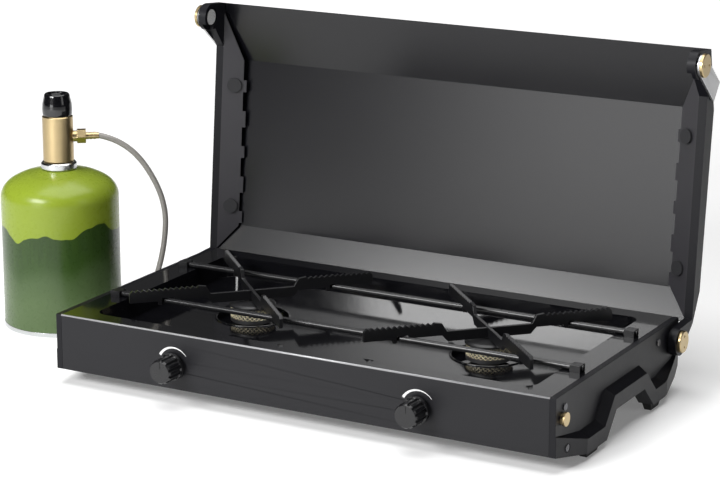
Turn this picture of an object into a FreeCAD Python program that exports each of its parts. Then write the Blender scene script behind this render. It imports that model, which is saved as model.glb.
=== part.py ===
"""Two-burner suitcase camping stove with its hose, pressure regulator and gas cartridge.

Millimetres. Each piece is built in the stove's own frame: X runs along the front panel from its middle,
Y runs back from the front panel, Z is up from the ground. At the end every piece moves by one shift, so
that the origin is at the bottom centre of everything but the hose. The lid and its handle are built
closed and level, and are then swung open about the hinge.
"""
import FreeCAD, Part
import math
import os

V = FreeCAD.Vector
X_AXIS = V(1, 0, 0)
Z_AXIS = V(0, 0, 1)
RUN_FIT = 0.05          # radial clearance of a shaft that turns in a bore
PRESS_FIT = 0.02        # radial clearance of a pin that stays put in its bore
GAP = 0.3               # clearance between faces that move past each other

# ---- stove body -------------------------------------------------------------------------------------
HALF_LENGTH = 226.0     # middle to the end of the front panel
DEPTH = 245.0           # front panel to rear wall
BOTTOM = 14.0           # underside of the pan above the ground
TOP = 62.0              # top of the hob tray
SHEET = 1.0
PANEL_SHEET = 1.2
PANEL_FLANGE = 8.0
PAN_SLOPE = 12.0        # the pan's rear lower edge is cut back by this much, and rises by the next
PAN_RISE = 6.0

# hob tray: flat margin, straight-sided basin
MARGIN_SIDE = 21.0
MARGIN_FRONT = 16.0
MARGIN_REAR = 16.0
BASIN_DEPTH = 18.0
BASIN_DRAFT = 3.0
BASIN_CORNER = 12.0

# end caps: a wall with a foot flange that follows its arched lower edge
CAP_WALL = 5.2
FLANGE_WIDTH = 8.3
FLANGE_HEIGHT = 12.5
FLANGE_SLOPE = 5.0
LOBE_BOTTOM = 5.5
ARCH_RISE = 20.5
ARCH_FRONT = 98.0
ARCH_REAR = DEPTH - 90.0
LOBE_RAMP = 18.0
FRONT_LOBE = 45.0
REAR_LOBE = DEPTH - 46.0
TAPER_LENGTH = 42.0
TAPER_START = 0.5
FOOT_LENGTH = 26.0
FOOT_WIDTH = 8.0
FOOT_INSET = 6.0
FOOT_DRAFT = 3.0
CAP_SCREW_RADIUS = 2.9
CAP_SCREW_HEIGHT = 1.2
CAP_SCREW_SHANK = 1.6
STUD_Y = 12.5
STUD_Z = TOP - 19.5
STUD_HEAD = 5.6
STUD_NECK = 3.6
STUD_LENGTH = 3.8

# ---- gas train --------------------------------------------------------------------------------------
BURNER_X = HALF_LENGTH / 2 + 0.5
BURNER_Y = DEPTH / 2 + 2.0
BOWL_RADIUS = 31.5
BOWL_DEPTH = 5.0
BURNER_NECK = 9.0
BURNER_HEAD = 19.0
HEAD_BASE_HEIGHT = 3.0
MESH_HEIGHT = 10.0
MESH_WALL = 1.2
BURNER_CAP = 20.0
BURNER_CAP_HEIGHT = 3.5
VALVE_RADIUS = 8.0
KNOB_Z = TOP - BASIN_DEPTH - SHEET - VALVE_RADIUS - 0.5     # valves clear the tray
KNOB_RADIUS = 10.3
KNOB_LENGTH = 19.0
KNOB_SKIRT = 3.0
KNOB_GAP = 3.0
KNOB_FLUTES = 12
FLUTE_RADIUS = 1.7
SPINDLE_RADIUS = 3.0
VALVE_LENGTH = 28.0
VALVE_START = 2.0
MIXER_RADIUS = 6.5
JET_Z = TOP - BASIN_DEPTH - 2 * SHEET - BOWL_DEPTH - MIXER_RADIUS - 1.5      # tubes clear the bowls
JET_RADIUS = 3.5
JET_LENGTH = 8.0
MIXER_MOUTH = 8.0
MIXER_WALL = 1.0
PIPE_RADIUS = 4.0
PIPE_Y = 22.0
PIPE_Z = 24.0
PIPE_BEND = 16.0
INLET_X = 51.0 - HALF_LENGTH
INLET_Z = 27.0
INLET_RADIUS = 5.0
INLET_LENGTH = 17.0

# ---- pot supports -----------------------------------------------------------------------------------
ROD_RADIUS = 2.5
ROD_HEIGHT = ROD_RADIUS + 0.05      # rod axis above the hob tray
ROD_SPREAD = 53.5       # each rod's distance from the burners' line
ROD_END_INSET = 4.0
CLIP_LENGTH = 9.0
CLIP_WIDTH = 10.0
CLIP_TOP = 5.3
CLIP_MOUTH = 4.0
BLADE_HALF_X = 75.0
BLADE_HALF_Y = 77.5
BLADE_THICK = 3.0
BLADE_TOP = 14.0        # top of a blade above the hob tray
BLADE_RAISED = 11.0
BLADE_MIDDLE_DROP = 8.0
BLADE_MIDDLE_HEIGHT = 8.5
BLADE_STEP_START = 36.0
BLADE_STEP = 5.0
BLADE_CHAMFER = 3.0
TOOTH_PITCH = 4.8
TOOTH_DEPTH = 1.9
HOOK_WIDTH = 3.0
HOOK_DROP = 3.4

# ---- lid, built closed with its rim level -----------------------------------------------------------
HINGE_Y = DEPTH - 14.0
HINGE_Z = TOP - 16.3
OPEN_ANGLE = 95.1       # from the level rim to the open stop
LID_SHEET = 1.0
RIM_RISE = 22.4         # rim above the hinge axis
LID_REACH = HINGE_Y + 12.0          # hinge axis to the lid's front edge
FRONT_BEND_REACH = LID_REACH - 52.0
FRONT_BEND_RISE = 17.0  # above the rim
REAR_BEND_REACH = 37.3
REAR_BEND_RISE = 13.0
REAR_EDGE_REACH = 11.5
REAR_EDGE_RISE = 1.7
FRONT_EDGE_RISE = 1.2
SIDE_GAP = 0.8          # between the stove's end cap and the lid's end cap
LID_CAP = 7.5           # thickness of the lid's end cap along X
BARREL_RADIUS = 12.0
HINGE_BOLT = 3.0
DISC_RADIUS = 9.4
DISC_THICK = 2.8
EAR_REACH = HINGE_Y + 0.3
EAR_RISE = 1.45         # ear centre above the hinge axis
EAR_RADIUS = 12.0
EAR_PLATE = 3.7
EAR_RECESS = 8.2
NUT_RADIUS = 7.0
STRIP_WIDTH = 20.0      # along X
STRIP_RISE = 10.0
STRIP_SHEET = 0.8
STRIP_TEETH = 5
STRIP_TOOTH_PITCH = (FRONT_BEND_REACH - REAR_BEND_REACH - 31.7) / (STRIP_TEETH - 1)
STRIP_TOOTH_DEPTH = 2.6
BUMPER_RADIUS = 6.5
BUMPER_HEIGHT = 2.4
BUMPER_REACH = (REAR_BEND_REACH + 18.7, FRONT_BEND_REACH - 23.0)

# ---- carrying handle, folded back over the closed lid -----------------------------------------------
ARM_THICK = 2.2
ARM_WIDTH = 19.0
ARM_LENGTH = 41.0
ARM_ANGLE = 55.1        # above level, from the ear towards the rear
TAB_LENGTH = 26.0
GRIP_HALF = HALF_LENGTH + 2.0
GRIP_THICK = 15.0
GRIP_WIDTH = 18.0
GRIP_OFFSET = 6.5
GRIP_CORNER = 6.0
GRIP_SCREW = 2.0
HANDLE_DISC = 10.0

# ---- cartridge and regulator ------------------------------------------------------------------------
CARTRIDGE_X = -HALF_LENGTH - 109.1
CARTRIDGE_Y = DEPTH - 91.6
CARTRIDGE_RADIUS = 53.3
CARTRIDGE_WALL = 0.6
CARTRIDGE_SHOULDER = 119.0
CARTRIDGE_TOP = 144.0
SEAM_HEIGHT = 4.0
SEAM_RADIUS = CARTRIDGE_RADIUS + 0.3
COLLAR_RADIUS = 16.2
COLLAR_HEIGHT = 7.0
REGULATOR_RADIUS = 13.8
REGULATOR_HEIGHT = 42.0
REGULATOR_STEM = 5.5
STEM_DEPTH = 6.0
OUTLET_HEIGHT = 22.5    # outlet axis above the collar
OUTLET_ANGLE = 36.2     # of the outlet, from +X towards +Y
OUTLET_BOSS = 5.0
OUTLET_BOSS_END = 17.0
NUT_END = 25.0
NUT_ACROSS_FLATS = 12.0
FERRULE_RADIUS = 3.3
CRIMP_DEPTH = 0.35
FERRULE_LENGTH = 11.5
GAS_KNOB_RADIUS = 13.3
GAS_KNOB_TOP_RADIUS = 11.2
GAS_KNOB_HEIGHT = 19.6
GAS_SPINDLE = 4.0
GAS_SPINDLE_LENGTH = 10.0

# ---- hose: its bends, measured from the end of the ferrule that each is nearer to -------------------
HOSE_DIAMETER = 5.2
HOSE_FROM_REGULATOR = [
    (13.0, 9.4, -3.5),
    (32.3, 23.6, -24.0),
    (48.1, 35.1, -64.5),
    (46.5, 33.9, -105.5),
    (37.2, 27.1, -145.5),
    (30.9, 50.3, -167.5),
]
HOSE_FROM_STOVE = [
    (-99.8, -10.2, -22.0),
    (-86.8, 29.8, -21.5),
    (-57.8, 59.8, -18.0),
    (-20.8, 59.8, -11.0),
    (-0.8, 31.8, -3.0),
]
ARC_SHARE = 0.45        # share of the shorter run that a bend uses on each side

CAP_FACE = HALF_LENGTH + CAP_WALL
FLANGE_FACE = CAP_FACE + FLANGE_WIDTH
LID_CAP_IN = CAP_FACE + SIDE_GAP
LID_CAP_OUT = LID_CAP_IN + LID_CAP
RIM_Z = HINGE_Z + RIM_RISE
EAR_Y = HINGE_Y - EAR_REACH
EAR_Z = HINGE_Z + EAR_RISE
BASIN_FLOOR = TOP - BASIN_DEPTH
BOWL_FLOOR = BASIN_FLOOR - SHEET - BOWL_DEPTH
HEAD_BASE = BASIN_FLOOR - 2.0
MESH_BASE = HEAD_BASE + HEAD_BASE_HEIGHT
ROD_Z = TOP + ROD_HEIGHT
SIDES = (("left", -1), ("right", 1))


# ---- helpers ----------------------------------------------------------------------------------------
def block(x0, x1, y0, y1, z0, z1):
    return Part.makeBox(x1 - x0, y1 - y0, z1 - z0, V(x0, y0, z0))


def rod(radius, start, end):
    """A cylinder from one point to another."""
    start, end = V(*start), V(*end)
    return Part.makeCylinder(radius, (end - start).Length, start, end - start)


def polygon(points):
    return Part.Face(Part.makePolygon(points + points[:1]))


def side_plate(outline, x0, x1):
    """A Y-Z outline extruded along X."""
    return polygon([V(x0, y, z) for y, z in outline]).extrude(V(x1 - x0, 0, 0))


def turned(profile, x, y):
    """A radius-height profile revolved about the vertical through x, y."""
    face = polygon([V(r, 0, z) for r, z in profile])
    return face.revolve(V(0, 0, 0), Z_AXIS, 360).translated(V(x, y, 0))


def fuse(shapes):
    joined = shapes[0]
    for shape in shapes[1:]:
        joined = joined.fuse(shape)
    return joined.removeSplitter()


def cut(shape, tools):
    for tool in tools:
        shape = shape.cut(tool)
    return shape


def mirrored(shape, side):
    """The right-hand shape for side 1, its mirror image for side -1."""
    return shape if side > 0 else shape.mirror(V(0, 0, 0), X_AXIS)


def rounded_rectangle(x0, x1, y0, y1, z, r):
    """A closed wire: a rectangle with round corners at height z."""
    corners = [(x1 - r, y0 + r, -90), (x1 - r, y1 - r, 0), (x0 + r, y1 - r, 90), (x0 + r, y0 + r, 180)]
    arcs = []
    for cx, cy, angle in corners:
        arcs.append(Part.makeCircle(r, V(cx, cy, z), Z_AXIS, angle, angle + 90))
    edges = []
    for index, arc in enumerate(arcs):
        edges.append(arc)
        after = arcs[(index + 1) % 4]
        edges.append(Part.makeLine(arc.Vertexes[-1].Point, after.Vertexes[0].Point))
    return Part.Wire(edges)


def tapered_block(lower, upper):
    return Part.makeLoft([lower, upper], True, True)


def route_edges(points, bend_radius=None):
    """Straight runs joined by tangent arcs, and each arc's radius."""
    points = [V(*p) for p in points]
    edges, radii = [], []
    start = points[0]
    for before, corner, after in zip(points, points[1:], points[2:]):
        into, out = corner - before, after - corner
        half_turn = into.getAngle(out) / 2
        if bend_radius is None:
            reach = ARC_SHARE * min(into.Length, out.Length)
        else:
            reach = bend_radius * math.tan(half_turn)
        radius = reach / math.tan(half_turn)
        into.normalize()
        out.normalize()
        first, last = corner - into * reach, corner + out * reach
        to_centre = out - into
        to_centre.normalize()
        centre = corner + to_centre * (radius / math.cos(half_turn))
        toward = corner - centre
        toward.normalize()
        edges.append(Part.LineSegment(start, first).toShape())
        edges.append(Part.Arc(first, centre + toward * radius, last).toShape())
        radii.append(radius)
        start = last
    edges.append(Part.LineSegment(start, points[-1]).toShape())
    return edges, radii


def tube_along(points, radius, bend_radius=None):
    """A round tube along a route, with the route's length and bend radii."""
    edges, radii = route_edges(points, bend_radius)
    path = Part.Wire(edges)
    heading = V(*points[1]) - V(*points[0])
    section = Part.Wire(Part.makeCircle(radius, V(*points[0]), heading))
    return path.makePipeShell([section], True, False), path.Length, radii


# ---- stove body -------------------------------------------------------------------------------------
def front_panel():
    face = block(-HALF_LENGTH, HALF_LENGTH, 0, PANEL_SHEET, BOTTOM, TOP - SHEET)
    inner = HALF_LENGTH - SHEET - 0.1
    low = BOTTOM + SHEET
    lower = block(-inner, inner, PANEL_SHEET, PANEL_FLANGE, low, low + SHEET)
    upper = block(-inner, inner, PANEL_SHEET, PANEL_FLANGE, TOP - 2 * SHEET, TOP - SHEET)
    hole_radius = SPINDLE_RADIUS + 1.5
    holes = [rod(hole_radius, (s * BURNER_X, -1, KNOB_Z), (s * BURNER_X, 5, KNOB_Z)) for _, s in SIDES]
    return cut(fuse([face, lower, upper]), holes)


def bottom_pan():
    bend = DEPTH - PAN_SLOPE
    outer = side_plate([(PANEL_SHEET, BOTTOM), (bend, BOTTOM), (DEPTH, BOTTOM + PAN_RISE),
                        (DEPTH, TOP - SHEET), (PANEL_SHEET, TOP - SHEET)], -HALF_LENGTH, HALF_LENGTH)
    low, rear = BOTTOM + SHEET, DEPTH - SHEET
    inside = side_plate([(0, low), (bend, low), (rear, low + PAN_RISE), (rear, TOP), (0, TOP)],
                        -HALF_LENGTH + SHEET, HALF_LENGTH - SHEET)
    hole = rod(INLET_RADIUS + RUN_FIT, (INLET_X, DEPTH - 5, INLET_Z), (INLET_X, DEPTH + 5, INLET_Z))
    return cut(outer, [inside, hole])


def hob_tray():
    x = HALF_LENGTH - MARGIN_SIDE
    y0, y1 = MARGIN_FRONT, DEPTH - MARGIN_REAR
    draft = BASIN_DRAFT
    plate = block(-HALF_LENGTH, HALF_LENGTH, 0, DEPTH, TOP - SHEET, TOP)
    outer = tapered_block(
        rounded_rectangle(-x + draft, x - draft, y0 + draft, y1 - draft, BASIN_FLOOR - SHEET, BASIN_CORNER),
        rounded_rectangle(-x, x, y0, y1, TOP - SHEET / 2, BASIN_CORNER))
    inset = draft + SHEET
    inside = tapered_block(
        rounded_rectangle(-x + inset, x - inset, y0 + inset, y1 - inset, BASIN_FLOOR, BASIN_CORNER - SHEET),
        rounded_rectangle(-x + SHEET, x - SHEET, y0 + SHEET, y1 - SHEET, TOP + SHEET, BASIN_CORNER - SHEET))
    holes = [rod(BOWL_RADIUS, (s * BURNER_X, BURNER_Y, BOTTOM), (s * BURNER_X, BURNER_Y, TOP))
             for _, s in SIDES]
    return cut(plate.fuse(outer), [inside] + holes)


def lower_outline():
    """The end cap's arched lower edge, front to rear."""
    arch = LOBE_BOTTOM + ARCH_RISE
    return [(0, BOTTOM), (FRONT_LOBE, LOBE_BOTTOM), (ARCH_FRONT - LOBE_RAMP, LOBE_BOTTOM),
            (ARCH_FRONT, arch), (ARCH_REAR, arch), (ARCH_REAR + LOBE_RAMP + 2, LOBE_BOTTOM + 1),
            (REAR_LOBE, LOBE_BOTTOM + 1), (DEPTH - PAN_SLOPE, BOTTOM - 1), (DEPTH, BOTTOM + PAN_RISE)]


def flange_edge(rise, tuck):
    """The foot flange's upper edge: the lower edge raised, with its ramps moved towards the lobes."""
    shifts = (0, 0, -tuck, -tuck, tuck, tuck, -tuck / 2, -tuck / 2, 0)
    return [(y + shift, z + rise) for (y, z), shift in zip(lower_outline(), shifts)]


def foot_spots():
    """Front and rear ends of each rubber foot along Y."""
    front = (FRONT_LOBE + 2, FRONT_LOBE + 2 + FOOT_LENGTH)
    rear_middle = (ARCH_REAR + LOBE_RAMP + 2 + REAR_LOBE) / 2
    return [front, (rear_middle - FOOT_LENGTH / 2 + 2, rear_middle + FOOT_LENGTH / 2 - 2)]


def cap_screw_spots():
    """Y, Z and the X of the face under each end-cap screw's head."""
    return [(STUD_Y + 3, TOP - 10.8, CAP_FACE), (STUD_Y + 3, BOTTOM + 4.5, CAP_FACE + 2.4),
            (DEPTH - 45, TOP - 10, CAP_FACE)]


def end_cap(side):
    low = lower_outline()
    wall = side_plate(low + [(DEPTH, TOP), (0, TOP)], HALF_LENGTH, CAP_FACE)
    inner_ring = low + flange_edge(FLANGE_HEIGHT + FLANGE_SLOPE, 6.0)[::-1]
    outer_ring = low + flange_edge(FLANGE_HEIGHT, 4.0)[::-1]
    wires = []
    for x, ring in ((CAP_FACE, inner_ring), (FLANGE_FACE, outer_ring)):
        wires.append(Part.makePolygon([V(x, y, z) for y, z in ring + ring[:1]]))
    flange = Part.makeLoft(wires, True, True)
    start = CAP_FACE + TAPER_START
    plan = [(CAP_FACE - 1, 0), (start, 0), (FLANGE_FACE, TAPER_LENGTH), (FLANGE_FACE, DEPTH - TAPER_LENGTH),
            (start, DEPTH), (CAP_FACE - 1, DEPTH)]
    flange = flange.common(polygon([V(x, y, 0) for x, y in plan]).extrude(V(0, 0, TOP)))
    pocket = rod(BARREL_RADIUS + SIDE_GAP, (CAP_FACE, HINGE_Y, HINGE_Z), (FLANGE_FACE + 1, HINGE_Y, HINGE_Z))
    behind = block(CAP_FACE, FLANGE_FACE + 1, HINGE_Y, DEPTH + 1, HINGE_Z - BARREL_RADIUS / 2, TOP)
    cap = fuse([wall, cut(flange, [pocket, behind])])
    tools = [rod(HINGE_BOLT, (HALF_LENGTH - 1, HINGE_Y, HINGE_Z), (CAP_FACE + 1, HINGE_Y, HINGE_Z)),
             rod(STUD_NECK, (HALF_LENGTH - 1, STUD_Y, STUD_Z), (CAP_FACE + 1, STUD_Y, STUD_Z))]
    for y, z, x in cap_screw_spots():
        tools.append(rod(CAP_SCREW_SHANK, (HALF_LENGTH - 1, y, z), (FLANGE_FACE, y, z)))
        tools.append(rod(CAP_SCREW_RADIUS + 0.6, (x, y, z), (FLANGE_FACE + 5, y, z)))
    return mirrored(cut(cap, tools), side)


def rubber_feet():
    feet = []
    for _, side in SIDES:
        x1 = FLANGE_FACE - FOOT_INSET + FOOT_DRAFT
        for index, (y0, y1) in enumerate(foot_spots()):
            top = LOBE_BOTTOM + index
            wide = [V(x1 - FOOT_WIDTH, y0, top), V(x1, y0, top), V(x1, y1, top), V(x1 - FOOT_WIDTH, y1, top)]
            lean = FOOT_DRAFT
            tread = [V(x1 - FOOT_WIDTH + 1, y0 + lean, 0), V(x1 - 1, y0 + lean, 0),
                     V(x1 - 1, y1 - lean, 0), V(x1 - FOOT_WIDTH + 1, y1 - lean, 0)]
            foot = tapered_block(Part.makePolygon(tread + tread[:1]), Part.makePolygon(wide + wide[:1]))
            feet.append(mirrored(foot, side))
    return Part.makeCompound(feet)


def cap_screws():
    screws = []
    for _, side in SIDES:
        for y, z, x in cap_screw_spots():
            head = rod(CAP_SCREW_RADIUS, (x, y, z), (x + CAP_SCREW_HEIGHT, y, z))
            slot = block(x + 0.6, x + 2, y - 0.45, y + 0.45, z - 4, z + 4)
            shank = rod(CAP_SCREW_SHANK - RUN_FIT, (HALF_LENGTH, y, z), (x, y, z))
            screws.append(mirrored(fuse([head.cut(slot), shank]), side))
    return Part.makeCompound(screws)


def latch_studs():
    studs = []
    for _, side in SIDES:
        neck = rod(STUD_NECK - RUN_FIT, (HALF_LENGTH, STUD_Y, STUD_Z), (CAP_FACE + STUD_LENGTH, STUD_Y, STUD_Z))
        collar = rod(STUD_HEAD - 0.8, (CAP_FACE, STUD_Y, STUD_Z), (CAP_FACE + 1.6, STUD_Y, STUD_Z))
        head_start = CAP_FACE + STUD_LENGTH - 2.2
        head = rod(STUD_HEAD, (head_start, STUD_Y, STUD_Z), (CAP_FACE + STUD_LENGTH, STUD_Y, STUD_Z))
        studs.append(mirrored(fuse([neck, collar, head]), side))
    return Part.makeCompound(studs)


def coin_disc(radius, x, y, z):
    """A flat bolt head with a bevelled rim and two key holes, on the +X side of x."""
    disc = rod(radius, (x, y, z), (x + DISC_THICK, y, z))
    outer_edge = [e for e in disc.Edges if abs(e.BoundBox.XMin - x - DISC_THICK) < 0.01
                  and abs(e.BoundBox.XMax - x - DISC_THICK) < 0.01]
    disc = disc.makeChamfer(0.6, outer_edge)
    for offset in (-0.5 * radius, 0.5 * radius):
        disc = disc.cut(rod(1.1, (x + DISC_THICK - 1.2, y, z + offset), (x + DISC_THICK + 1, y, z + offset)))
    return disc


def hinge_bolts():
    bolts = []
    for _, side in SIDES:
        face = LID_CAP_OUT + GAP
        shank = rod(HINGE_BOLT - RUN_FIT, (HALF_LENGTH, HINGE_Y, HINGE_Z), (face, HINGE_Y, HINGE_Z))
        bolts.append(mirrored(fuse([coin_disc(DISC_RADIUS, face, HINGE_Y, HINGE_Z), shank]), side))
    return Part.makeCompound(bolts)


# ---- pot supports -----------------------------------------------------------------------------------
def rod_lines():
    return (BURNER_Y - ROD_SPREAD, BURNER_Y + ROD_SPREAD)


def support_rods():
    end = HALF_LENGTH - ROD_END_INSET
    return Part.makeCompound([rod(ROD_RADIUS, (-end, y, ROD_Z), (end, y, ROD_Z)) for y in rod_lines()])


def rod_clips():
    clips = []
    end = HALF_LENGTH - ROD_END_INSET - 1
    for _, side in SIDES:
        for y in rod_lines():
            clip = block(end - CLIP_LENGTH, end, y - CLIP_WIDTH / 2, y + CLIP_WIDTH / 2, TOP, TOP + CLIP_TOP)
            bore = rod(ROD_RADIUS + RUN_FIT, (end - CLIP_LENGTH - 1, y, ROD_Z), (end + 1, y, ROD_Z))
            mouth = block(end - CLIP_LENGTH - 1, end + 1, y - CLIP_MOUTH / 2, y + CLIP_MOUTH / 2, TOP - 1, ROD_Z)
            clips.append(mirrored(cut(clip, [bore, mouth]), side))
    return Part.makeCompound(clips)


def blade_outline():
    """Half of a blade's outline from its middle outwards, as points of length and height."""
    half = math.hypot(BLADE_HALF_X, BLADE_HALF_Y)
    sine, cosine = BLADE_HALF_Y / half, BLADE_HALF_X / half
    top = TOP + BLADE_TOP
    raised = top - BLADE_RAISED
    middle_top = top - BLADE_MIDDLE_DROP
    middle = middle_top - BLADE_MIDDLE_HEIGHT
    seat = ROD_SPREAD / sine
    slot = (ROD_RADIUS + GAP + BLADE_THICK / 2 * cosine) / sine
    step_end = BLADE_STEP_START + BLADE_STEP
    lower = [(BLADE_STEP_START, middle), (step_end, raised)]
    for inner, outer in ((seat - slot - HOOK_WIDTH, seat - slot), (seat + slot, seat + slot + HOOK_WIDTH)):
        lower += [(inner, raised), (inner, raised - HOOK_DROP), (outer, raised - HOOK_DROP)]
        lower += [(outer, ROD_Z + ROD_RADIUS + GAP if inner < seat else raised)]
        if inner < seat:
            lower.append((seat + slot, ROD_Z + ROD_RADIUS + GAP))
    lower = [p for i, p in enumerate(lower) if i == 0 or p != lower[i - 1]]
    upper = [(half, raised), (half, top - BLADE_CHAMFER), (half - BLADE_CHAMFER, top)]
    teeth_end = half - BLADE_CHAMFER
    teeth_start = step_end + 1.5
    count = int((teeth_end - teeth_start) / TOOTH_PITCH)
    for index in range(count):
        at = teeth_end - index * TOOTH_PITCH
        upper += [(at - TOOTH_PITCH * 0.45, top - TOOTH_DEPTH), (at - TOOTH_PITCH * 0.9, top)]
    upper += [(step_end, top - 1), (BLADE_STEP_START + 1, middle_top)]
    return lower, upper, middle, middle_top


def blade(centre_x, turn, slot_from_top):
    """One serrated blade of a pot support, half-lapped with its partner."""
    lower, upper, middle, middle_top = blade_outline()
    right = lower + upper
    left = [(-s, z) for s, z in reversed(right)]
    outline = left + right
    face = polygon([V(s, -BLADE_THICK / 2, z) for s, z in outline])
    plate = face.extrude(V(0, BLADE_THICK, 0))
    half_slot = BLADE_THICK / 2 + 0.15
    waist = (middle + middle_top) / 2
    z0, z1 = (waist, middle_top + 9) if slot_from_top else (middle - 1, waist)
    plate = plate.cut(block(-half_slot, half_slot, -5, 5, z0, z1))
    angle = math.degrees(math.atan2(BLADE_HALF_Y, BLADE_HALF_X)) * turn
    plate.rotate(V(0, 0, 0), Z_AXIS, angle)
    return plate.translated(V(centre_x, BURNER_Y, 0))


# ---- gas train --------------------------------------------------------------------------------------
def burner_bowl(side):
    outer = BOWL_RADIUS + SHEET
    low = BOWL_FLOOR - SHEET
    high = BASIN_FLOOR - SHEET
    throat = BURNER_NECK + 1.5
    profile = [(throat, low), (outer, low), (outer, high), (BOWL_RADIUS, high), (BOWL_RADIUS, BOWL_FLOOR),
               (throat, BOWL_FLOOR)]
    return turned(profile, side * BURNER_X, BURNER_Y)


def burner_body(side):
    foot = JET_Z - MIXER_RADIUS - 1.5
    wall = 2.0
    profile = [(0, foot), (BURNER_NECK, foot), (BURNER_NECK, BOWL_FLOOR + 1), (BURNER_HEAD, HEAD_BASE),
               (BURNER_HEAD, MESH_BASE), (BURNER_HEAD - wall, MESH_BASE), (BURNER_NECK - wall, BOWL_FLOOR + 2),
               (BURNER_NECK - wall, foot + wall), (0, foot + wall)]
    body = turned(profile, side * BURNER_X, BURNER_Y)
    port = rod(MIXER_RADIUS - MIXER_WALL, (side * BURNER_X, BURNER_Y - 2 * BURNER_NECK, JET_Z),
               (side * BURNER_X, BURNER_Y, JET_Z))
    return body.cut(port)


def burner_mesh(side):
    outer = BURNER_HEAD
    inner = outer - MESH_WALL
    profile = [(inner, MESH_BASE), (outer, MESH_BASE), (outer, MESH_BASE + MESH_HEIGHT),
               (inner, MESH_BASE + MESH_HEIGHT)]
    return turned(profile, side * BURNER_X, BURNER_Y)


def burner_cap(side):
    base = MESH_BASE + MESH_HEIGHT
    profile = [(0, base), (BURNER_CAP, base), (BURNER_CAP, base + 1.4), (BURNER_CAP - 2.5, base + 2.8),
               (6, base + BURNER_CAP_HEIGHT), (0, base + BURNER_CAP_HEIGHT)]
    return turned(profile, side * BURNER_X, BURNER_Y)


def mixing_tube(side):
    x = side * BURNER_X
    start = VALVE_START + VALVE_LENGTH + JET_LENGTH + 3
    end = BURNER_Y - BURNER_NECK / 2
    bell = 8.0
    barrel = rod(MIXER_RADIUS, (x, start + bell, JET_Z), (x, end, JET_Z))
    mouth = Part.makeCone(MIXER_MOUTH, MIXER_RADIUS, bell, V(x, start, JET_Z), V(0, 1, 0))
    throat = rod(MIXER_RADIUS - MIXER_WALL, (x, start - 1, JET_Z), (x, end + 1, JET_Z))
    flare = Part.makeCone(MIXER_MOUTH - MIXER_WALL, MIXER_RADIUS - MIXER_WALL, bell, V(x, start, JET_Z),
                          V(0, 1, 0))
    neck = rod(BURNER_NECK + PRESS_FIT, (x, BURNER_Y, BOTTOM), (x, BURNER_Y, TOP))
    return cut(fuse([barrel, mouth]), [throat, flare, neck])


def valve_body(side):
    x = side * BURNER_X
    end = VALVE_START + VALVE_LENGTH
    barrel = rod(VALVE_RADIUS, (x, VALVE_START, KNOB_Z), (x, end, KNOB_Z))
    foot = block(x - 7, x + 7, 12, end, PIPE_Z - PIPE_RADIUS - 1.5, KNOB_Z)
    spindle_bore = rod(SPINDLE_RADIUS + RUN_FIT, (x, 0, KNOB_Z), (x, VALVE_START + 14, KNOB_Z))
    pipe_bore = rod(PIPE_RADIUS + RUN_FIT, (x - 9, PIPE_Y, PIPE_Z), (x + 9, PIPE_Y, PIPE_Z))
    return cut(fuse([barrel, foot]), [spindle_bore, pipe_bore])


def gas_jet(side):
    x = side * BURNER_X
    start = VALVE_START + VALVE_LENGTH
    tip = Part.makeCone(JET_RADIUS, 1.8, JET_LENGTH / 2, V(x, start + JET_LENGTH / 2, JET_Z), V(0, 1, 0))
    return fuse([rod(JET_RADIUS, (x, start, JET_Z), (x, start + JET_LENGTH / 2, JET_Z)), tip])


def manifold_pipe():
    end = BURNER_X + VALVE_RADIUS + 1
    corner_x = INLET_X
    route = [(corner_x, DEPTH - 8, INLET_Z), (corner_x, DEPTH - 60, INLET_Z), (corner_x, DEPTH - 90, PIPE_Z),
             (corner_x, PIPE_Y, PIPE_Z), (end, PIPE_Y, PIPE_Z)]
    return tube_along(route, PIPE_RADIUS, PIPE_BEND)[0]


def hexagon_prism(across_flats, start, direction, length):
    """A hexagonal bar lying level along a direction."""
    along = V(*direction)
    across = Z_AXIS.cross(along)
    radius = across_flats / math.sqrt(3)
    corners = []
    for index in range(6):
        angle = math.radians(60 * index)
        corners.append(V(*start) + across * (radius * math.cos(angle)) + Z_AXIS * (radius * math.sin(angle)))
    return polygon(corners).extrude(along * length)


def gas_inlet():
    """Threaded nipple through the rear wall, with a hexagon outside it."""
    inside = DEPTH - 8
    outside = DEPTH + INLET_LENGTH
    nipple = rod(INLET_RADIUS, (INLET_X, inside, INLET_Z), (INLET_X, outside, INLET_Z))
    nut = hexagon_prism(14.0, (INLET_X, DEPTH, INLET_Z), (0, 1, 0), 7.0)
    return fuse([nipple, nut])


def gas_knob(side):
    """A fluted grip with a plain skirt, turned on end and then laid along Y."""
    face = KNOB_RADIUS - 1.3
    profile = [(0, 0), (KNOB_RADIUS + 1.2, 0), (KNOB_RADIUS + 1.2, KNOB_SKIRT), (KNOB_RADIUS, KNOB_SKIRT + 0.8),
               (KNOB_RADIUS, KNOB_LENGTH - 2.2), (face, KNOB_LENGTH), (0, KNOB_LENGTH)]
    knob = turned(profile, 0, 0)
    reach = KNOB_RADIUS + 0.35 * FLUTE_RADIUS
    for index in range(KNOB_FLUTES):
        angle = 2 * math.pi * (index + 0.5) / KNOB_FLUTES
        foot = (reach * math.cos(angle), reach * math.sin(angle), KNOB_SKIRT)
        knob = knob.cut(rod(FLUTE_RADIUS, foot, (foot[0], foot[1], KNOB_LENGTH + 1)))
    pointer = block(-0.7, 0.7, 3.0, face - 0.5, KNOB_LENGTH - 0.1, KNOB_LENGTH + 0.4)
    bore = Part.makeCylinder(SPINDLE_RADIUS + PRESS_FIT, 12, V(0, 0, -1))
    knob = fuse([knob, pointer]).cut(bore)
    knob.rotate(V(0, 0, 0), X_AXIS, 90)
    return knob.translated(V(side * BURNER_X, -KNOB_GAP, KNOB_Z))


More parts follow.
